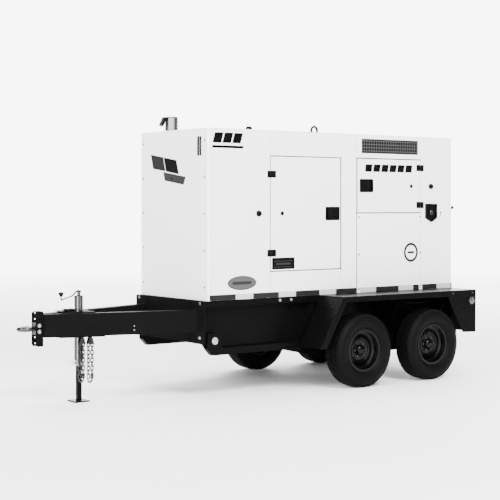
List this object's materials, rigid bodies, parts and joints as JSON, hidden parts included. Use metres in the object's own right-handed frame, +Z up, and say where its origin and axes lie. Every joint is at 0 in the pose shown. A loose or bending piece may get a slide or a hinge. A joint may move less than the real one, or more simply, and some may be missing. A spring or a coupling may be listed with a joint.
{
  "type": "towable diesel generator",
  "caption": "Silenced diesel generator set in a white canopy on a black tandem-axle trailer with drawbar, lunette ring, drop-leg jack and fenders.",
  "frame": {"origin": "centre of the footprint on the ground plane", "axes": "+X towards the tail, the drawbar points to -X, -Y is the road side, +Z up"},
  "size_m": [4.8789, 1.898, 2.6469],
  "materials": {
    "black_paint": "semi-gloss black chassis paint with light dust",
    "tank": "black moulded tank",
    "zinc": "bright zinc plate",
    "black_plastic": "black moulded plastic",
    "black_hardware": "black powder coat",
    "white_paint": "white enamel, slightly satin",
    "bare_steel": "aluminised steel",
    "grey_plastic": "mid-grey glossy plastic",
    "lens": "pale moulded lens",
    "engine_paint": "dark grey engine enamel",
    "radiator_metal": "dark coated aluminium",
    "panel_finish": "dark grey instrument panel",
    "wheel_paint": "gloss black wheel enamel",
    "tyre_rubber": "black tread rubber"
  },
  "bodies": {
    "root": {"base_rails": "black_paint", "cross_members": "black_paint", "axle_subframe": "black_paint", "fender_left": "black_paint", "fender_right": "black_paint", "fuel_tank": "tank", "drawbar_rails": "black_paint", "drawbar_head": "black_paint", "lunette_eye": "zinc", "frame_bolts": "zinc", "jack_tube": "zinc", "breakaway_switch": "black_plastic", "canopy_frame": "white_paint", "side_panels": "white_paint", "canopy_front": "white_paint", "canopy_rear": "white_paint", "canopy_roof": "white_paint", "vent_grilles": "white_paint", "connection_cover": "white_paint", "door_hardware": "black_hardware", "panel_screws": "zinc", "lifting_bail": "bare_steel", "exhaust_stack": "bare_steel", "estop_guard": "black_plastic", "marker_lamps": "lens", "engine": "engine_paint", "alternator": "engine_paint", "radiator": "radiator_metal", "control_panel": "panel_finish"},
    "door_left_engine": {"door_left_engine": "white_paint"},
    "latch_left_engine": {"latch_left_engine": "black_plastic"},
    "door_left_control": {"door_left_control": "white_paint"},
    "latch_left_control": {"latch_left_control": "black_plastic"},
    "door_right_engine": {"door_right_engine": "white_paint"},
    "latch_right_engine": {"latch_right_engine": "black_plastic"},
    "door_rear": {"door_rear": "white_paint"},
    "latch_rear": {"latch_rear": "black_plastic"},
    "rain_cap": {"rain_cap": "bare_steel"},
    "estop_button": {"estop_button": "grey_plastic"},
    "jack_leg": {"jack_leg": "zinc"},
    "jack_drop_leg": {"jack_drop_leg": "black_paint"},
    "jack_pin": {"jack_pin": "zinc"},
    "jack_crank": {"jack_crank": "zinc"},
    "breakaway_pin": {"breakaway_pin": "zinc"},
    "chain_front": {"chain_front": "zinc"},
    "chain_rear": {"chain_rear": "zinc"},
    "cooling_fan": {"cooling_fan": "black_plastic"},
    "breaker_lever": {"breaker_lever": "black_plastic"},
    "arm_front_left": {"arm_front_left": "black_paint"},
    "wheel_front_left": {"rim_front_left": "wheel_paint", "tyre_front_left": "tyre_rubber"},
    "arm_front_right": {"arm_front_right": "black_paint"},
    "wheel_front_right": {"rim_front_right": "wheel_paint", "tyre_front_right": "tyre_rubber"},
    "arm_rear_left": {"arm_rear_left": "black_paint"},
    "wheel_rear_left": {"rim_rear_left": "wheel_paint", "tyre_rear_left": "tyre_rubber"},
    "arm_rear_right": {"arm_rear_right": "black_paint"},
    "wheel_rear_right": {"rim_rear_right": "wheel_paint", "tyre_rear_right": "tyre_rubber"}
  },
  "joints": [
    {"name": "door_left_engine_hinge", "type": "hinge", "parent": "root", "child": "door_left_engine", "pos_m": [-0.0785, -0.58555, 1.694], "axis": [0, 0, -1], "range_deg": [0, 170]},
    {"name": "latch_left_engine_pull", "type": "hinge", "parent": "door_left_engine", "child": "latch_left_engine", "pos_m": [0.7735, -0.566, 1.692], "axis": [0, 0, 1], "range_deg": [0, 40], "stiffness_Nm_per_rad": 2},
    {"name": "door_left_control_hinge", "type": "hinge", "parent": "root", "child": "door_left_control", "pos_m": [1.9165, -0.58555, 1.97], "axis": [0, 0, 1], "range_deg": [0, 165]},
    {"name": "latch_left_control_pull", "type": "hinge", "parent": "door_left_control", "child": "latch_left_control", "pos_m": [1.0765, -0.566, 1.972], "axis": [0, 0, -1], "range_deg": [0, 40], "stiffness_Nm_per_rad": 2},
    {"name": "door_right_engine_hinge", "type": "hinge", "parent": "root", "child": "door_right_engine", "pos_m": [-0.0785, 0.58555, 1.694], "axis": [0, 0, 1], "range_deg": [0, 170]},
    {"name": "latch_right_engine_pull", "type": "hinge", "parent": "door_right_engine", "child": "latch_right_engine", "pos_m": [0.7735, 0.566, 1.692], "axis": [0, 0, -1], "range_deg": [0, 40], "stiffness_Nm_per_rad": 2},
    {"name": "door_rear_hinge", "type": "hinge", "parent": "root", "child": "door_rear", "pos_m": [2.38505, -0.378, 1.694], "axis": [0, 0, -1], "range_deg": [0, 110]},
    {"name": "latch_rear_pull", "type": "hinge", "parent": "door_rear", "child": "latch_rear", "pos_m": [2.3655, 0.394, 1.692], "axis": [0, 0, 1], "range_deg": [0, 40], "stiffness_Nm_per_rad": 2},
    {"name": "rain_cap_lift", "type": "hinge", "parent": "root", "child": "rain_cap", "pos_m": [-0.6775, 0.35, 2.628], "axis": [0, -1, 0], "range_deg": [0, 35]},
    {"name": "estop_press", "type": "slide", "parent": "root", "child": "estop_button", "axis": [0, 1, 0], "range_m": [0, 0.005], "stiffness_N_per_m": 2000},
    {"name": "jack_leg_extend", "type": "slide", "parent": "root", "child": "jack_leg", "axis": [0, 0, -1], "range_m": [0, 0.38]},
    {"name": "jack_drop_leg_raise", "type": "slide", "parent": "jack_leg", "child": "jack_drop_leg", "axis": [0, 0, 1], "range_m": [0, 0.14]},
    {"name": "jack_pin_pull", "type": "slide", "parent": "jack_leg", "child": "jack_pin", "axis": [-1, 0, 0], "range_m": [0, 0.022], "stiffness_N_per_m": 600},
    {"name": "jack_crank_turn", "type": "hinge", "parent": "root", "child": "jack_crank", "pos_m": [-1.8265, 0, 0.97], "axis": [0, 0, 1], "range_deg": [0, 13680]},
    {"name": "breakaway_pin_pull", "type": "slide", "parent": "root", "child": "breakaway_pin", "axis": [-1, 0, 0], "range_m": [0, 0.03]},
    {"name": "chain_front_swing", "type": "hinge", "parent": "root", "child": "chain_front", "pos_m": [-1.8305, -0.057, 0.572], "axis": [0, 1, 0], "range_deg": [-30, 30]},
    {"name": "chain_rear_swing", "type": "hinge", "parent": "root", "child": "chain_rear", "pos_m": [-1.7685, -0.106, 0.572], "axis": [0, 1, 0], "range_deg": [-30, 30]},
    {"name": "cooling_fan_spin", "type": "hinge", "parent": "root", "child": "cooling_fan", "pos_m": [-0.0945, 0, 1.4], "axis": [1, 0, 0], "continuous": true},
    {"name": "breaker_lever_throw", "type": "hinge", "parent": "root", "child": "breaker_lever", "pos_m": [1.6535, -0.494, 2.06], "axis": [1, 0, 0], "range_deg": [0, 44]},
    {"name": "arm_front_left_swing", "type": "hinge", "parent": "root", "child": "arm_front_left", "pos_m": [0.6605, -0.606, 0.345], "axis": [0, -1, 0], "range_deg": [-10, 15], "stiffness_Nm_per_rad": 6400, "springref_deg": -9.74},
    {"name": "wheel_front_left_roll", "type": "hinge", "parent": "arm_front_left", "child": "wheel_front_left", "pos_m": [0.8125, -0.8365, 0.36], "axis": [0, 1, 0], "continuous": true},
    {"name": "arm_front_right_swing", "type": "hinge", "parent": "root", "child": "arm_front_right", "pos_m": [0.6605, 0.606, 0.345], "axis": [0, -1, 0], "range_deg": [-10, 15], "stiffness_Nm_per_rad": 6400, "springref_deg": -9.74},
    {"name": "wheel_front_right_roll", "type": "hinge", "parent": "arm_front_right", "child": "wheel_front_right", "pos_m": [0.8125, 0.8365, 0.36], "axis": [0, 1, 0], "continuous": true},
    {"name": "arm_rear_left_swing", "type": "hinge", "parent": "root", "child": "arm_rear_left", "pos_m": [1.5915, -0.606, 0.345], "axis": [0, -1, 0], "range_deg": [-10, 15], "stiffness_Nm_per_rad": 6400, "springref_deg": -9.74},
    {"name": "wheel_rear_left_roll", "type": "hinge", "parent": "arm_rear_left", "child": "wheel_rear_left", "pos_m": [1.7435, -0.8365, 0.36], "axis": [0, 1, 0], "continuous": true},
    {"name": "arm_rear_right_swing", "type": "hinge", "parent": "root", "child": "arm_rear_right", "pos_m": [1.5915, 0.606, 0.345], "axis": [0, -1, 0], "range_deg": [-10, 15], "stiffness_Nm_per_rad": 6400, "springref_deg": -9.74},
    {"name": "wheel_rear_right_roll", "type": "hinge", "parent": "arm_rear_right", "child": "wheel_rear_right", "pos_m": [1.7435, 0.8365, 0.36], "axis": [0, 1, 0], "continuous": true}
  ],
  "couplings": [
    {"joint": "jack_leg_extend", "follows": "jack_crank_turn", "m_per_rad": 0.0015915}
  ]
}
